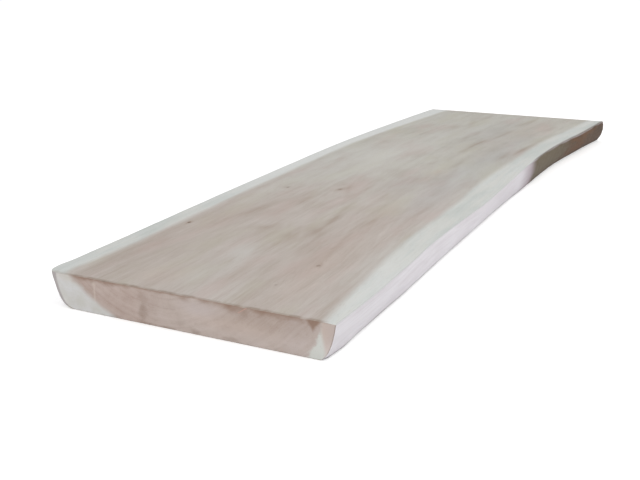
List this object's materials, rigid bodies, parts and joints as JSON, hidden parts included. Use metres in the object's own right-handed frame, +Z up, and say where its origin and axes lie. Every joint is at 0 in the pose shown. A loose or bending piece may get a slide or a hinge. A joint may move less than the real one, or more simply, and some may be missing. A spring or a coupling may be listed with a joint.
{
  "type": "live edge table top",
  "caption": "Thick flat hardwood slab table top with square-sawn ends, a natural live edge along both long sides and an end that flares wider.",
  "frame": {"origin": "centre of the bounding box on the flat underside", "axes": "+X along the slab towards the end that flares, +Y across it towards the evenly bowed live edge, +Z up through the thickness"},
  "size_m": [2.4, 0.787, 0.08],
  "materials": {
    "slab_wood": "sanded flat and left unfinished, with pale sapwood along both debarked edges"
  },
  "bodies": {
    "root": {"live_edge_slab": "slab_wood"}
  },
  "joints": []
}
